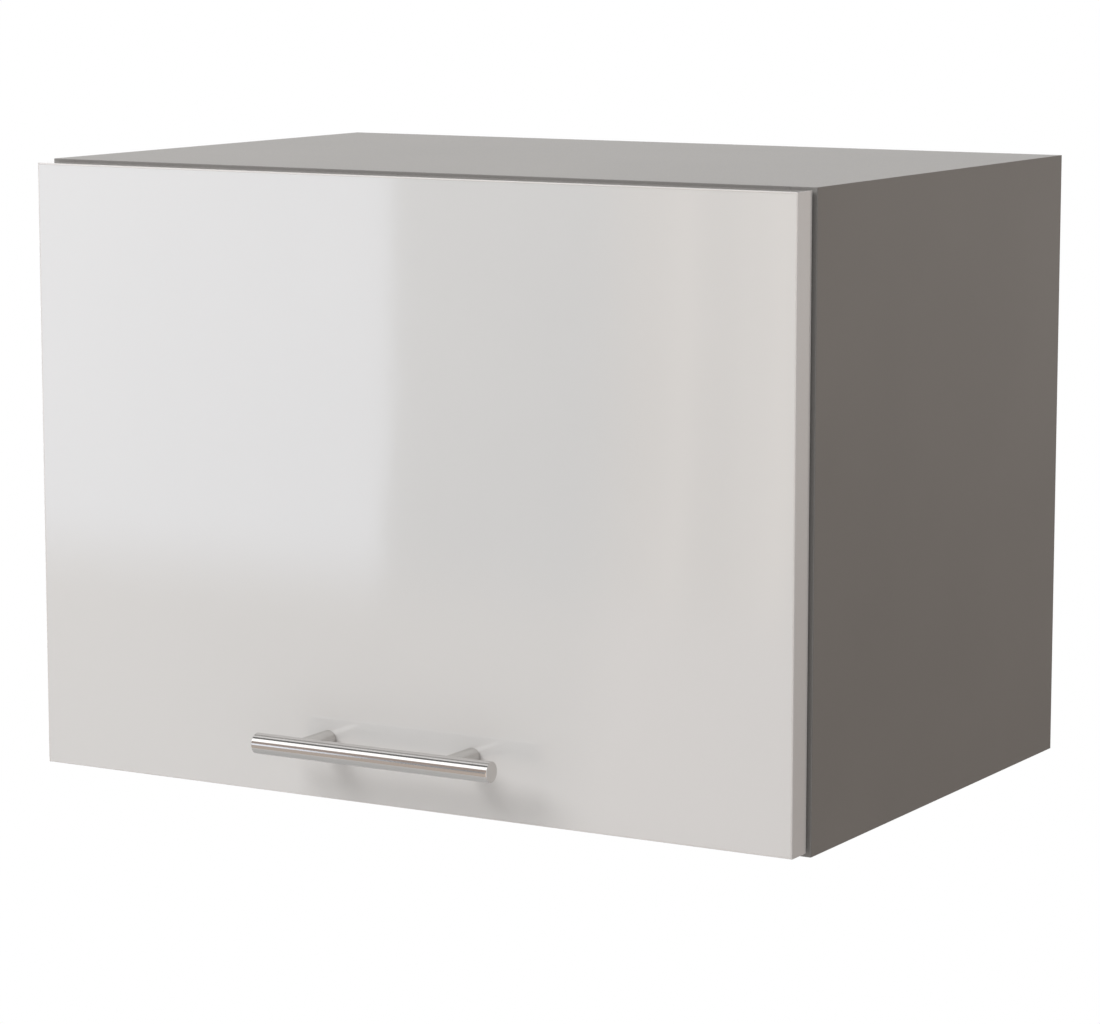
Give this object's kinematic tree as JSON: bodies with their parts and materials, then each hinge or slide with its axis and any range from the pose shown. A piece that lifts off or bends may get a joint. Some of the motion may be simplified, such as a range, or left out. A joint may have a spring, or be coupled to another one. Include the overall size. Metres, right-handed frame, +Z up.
{
  "type": "lift up wall cabinet",
  "caption": "Wall cabinet with a high-gloss flap door that lifts on cup hinges and lever stays, a bar handle and adjustable hanging hooks.",
  "frame": {"origin": "on the wall plane, at the middle of the width, level with the underside", "axes": "+X to the right seen from the front, +Y into the wall (the door faces -Y), +Z up"},
  "size_m": [0.5, 0.3813, 0.361],
  "materials": {
    "carcase_board": "warm grey melamine, fine print, satin",
    "carcase_band": "warm grey plastic band, satin",
    "back_board": "thin hardboard, grey lacquer to the room, raw fibre to the wall",
    "door_board": "white melamine on the back",
    "door_gloss": "high-gloss white sheet",
    "door_band": "high-gloss white band",
    "handle_steel": "satin steel, brushed along the bar",
    "bright_zinc": "nickel-plated pressed steel",
    "dark_steel": "blued spring and shaft steel",
    "screw_zinc": "bright zinc plating",
    "white_plastic": "moulded, lightly grained",
    "plunger_plastic": "natural acetal",
    "cap_plastic": "moulded caps in the board's grey",
    "beech": "fluted beech dowels",
    "buffer_rubber": "clear soft buffers"
  },
  "bodies": {
    "cabinet": {"side_panel_left": "carcase_board", "side_panel_right": "carcase_board", "top_panel": "carcase_board", "bottom_panel": "carcase_board", "back_panel": "back_board", "side_edge_bands": "carcase_band", "top_bottom_edge_bands": "carcase_band", "wood_dowels": "beech", "cam_locks": "bright_zinc", "cam_bolts": "screw_zinc", "cam_caps": "cap_plastic", "cabinet_screws": "screw_zinc", "hanger_block_left": "white_plastic", "hanger_block_right": "white_plastic", "hanger_covers": "white_plastic", "hanger_adjusters": "screw_zinc", "hinge_plates": "bright_zinc", "hinge_arm_left": "bright_zinc", "hinge_arm_right": "bright_zinc", "hinge_arm_pins": "dark_steel", "hinge_arm_screws": "screw_zinc", "stay_base_left": "bright_zinc", "stay_base_right": "bright_zinc", "stay_cover_left": "white_plastic", "stay_cover_right": "white_plastic", "stay_spring_left": "dark_steel", "stay_spring_right": "dark_steel"},
    "door": {"hinge_cup_left": "bright_zinc", "hinge_cup_right": "bright_zinc", "hinge_cup_pins": "dark_steel", "door_core": "door_board", "door_gloss_sheet": "door_gloss", "door_side_bands": "door_band", "door_top_bottom_bands": "door_band", "door_buffers": "buffer_rubber", "door_screws": "screw_zinc", "door_bracket_left": "bright_zinc", "door_bracket_right": "bright_zinc", "door_bracket_pins": "dark_steel", "handle_bar": "handle_steel", "handle_post_left": "handle_steel", "handle_post_right": "handle_steel", "handle_screws": "screw_zinc"},
    "lever_left": {"stay_camshaft_left": "dark_steel", "stay_lever_left": "bright_zinc", "stay_elbow_pin_left": "dark_steel"},
    "link_left": {"stay_link_left": "bright_zinc"},
    "plunger_left": {"stay_plunger_left": "plunger_plastic"},
    "hinge_link_left": {"hinge_link_left": "bright_zinc"},
    "hook_left": {"hanger_hook_left": "bright_zinc"},
    "lever_right": {"stay_camshaft_right": "dark_steel", "stay_lever_right": "bright_zinc", "stay_elbow_pin_right": "dark_steel"},
    "link_right": {"stay_link_right": "bright_zinc"},
    "plunger_right": {"stay_plunger_right": "plunger_plastic"},
    "hinge_link_right": {"hinge_link_right": "bright_zinc"},
    "hook_right": {"hanger_hook_right": "bright_zinc"}
  },
  "joints": [
    {"name": "door_lift", "type": "hinge", "parent": "cabinet", "child": "door", "pos_m": [0, -0.338, 0.35504], "axis": [-1, 0, 0], "range_deg": [0, 90]},
    {"name": "lever_left_turn", "type": "hinge", "parent": "cabinet", "child": "lever_left", "pos_m": [-0.214, -0.243, 0.31], "axis": [-1, 0, 0], "range_deg": [0, 90]},
    {"name": "link_left_turn", "type": "hinge", "parent": "lever_left", "child": "link_left", "pos_m": [-0.2105, -0.2125, 0.235], "axis": [-1, 0, 0], "range_deg": [-90, 0]},
    {"name": "plunger_left_slide", "type": "slide", "parent": "cabinet", "child": "plunger_left", "axis": [0, 0, 1], "range_m": [0, 0.008], "deforming": ["stay_spring_left"]},
    {"name": "hinge_link_left_turn", "type": "hinge", "parent": "cabinet", "child": "hinge_link_left", "pos_m": [-0.15, -0.33695, 0.33504], "axis": [-1, 0, 0], "range_deg": [-43, 0]},
    {"name": "hook_left_height", "type": "slide", "parent": "cabinet", "child": "hook_left", "axis": [0, 0, 1], "range_m": [-0.005, 0.005]},
    {"name": "lever_right_turn", "type": "hinge", "parent": "cabinet", "child": "lever_right", "pos_m": [0.214, -0.243, 0.31], "axis": [-1, 0, 0], "range_deg": [0, 90]},
    {"name": "link_right_turn", "type": "hinge", "parent": "lever_right", "child": "link_right", "pos_m": [0.2105, -0.2125, 0.235], "axis": [-1, 0, 0], "range_deg": [-90, 0]},
    {"name": "plunger_right_slide", "type": "slide", "parent": "cabinet", "child": "plunger_right", "axis": [0, 0, 1], "range_m": [0, 0.008], "deforming": ["stay_spring_right"]},
    {"name": "hinge_link_right_turn", "type": "hinge", "parent": "cabinet", "child": "hinge_link_right", "pos_m": [0.15, -0.33695, 0.33504], "axis": [-1, 0, 0], "range_deg": [-43, 0]},
    {"name": "hook_right_height", "type": "slide", "parent": "cabinet", "child": "hook_right", "axis": [0, 0, 1], "range_m": [-0.005, 0.005]}
  ],
  "couplings": [
    {"joint": "lever_left_turn", "follows": "door_lift", "ratio": 1},
    {"joint": "link_left_turn", "follows": "door_lift", "ratio": -1},
    {"joint": "plunger_left_slide", "follows": "door_lift", "m_per_rad": 0.005092},
    {"joint": "hinge_link_left_turn", "follows": "door_lift", "ratio": -0.474},
    {"joint": "lever_right_turn", "follows": "door_lift", "ratio": 1},
    {"joint": "link_right_turn", "follows": "door_lift", "ratio": -1},
    {"joint": "plunger_right_slide", "follows": "door_lift", "m_per_rad": 0.005092},
    {"joint": "hinge_link_right_turn", "follows": "door_lift", "ratio": -0.474}
  ]
}
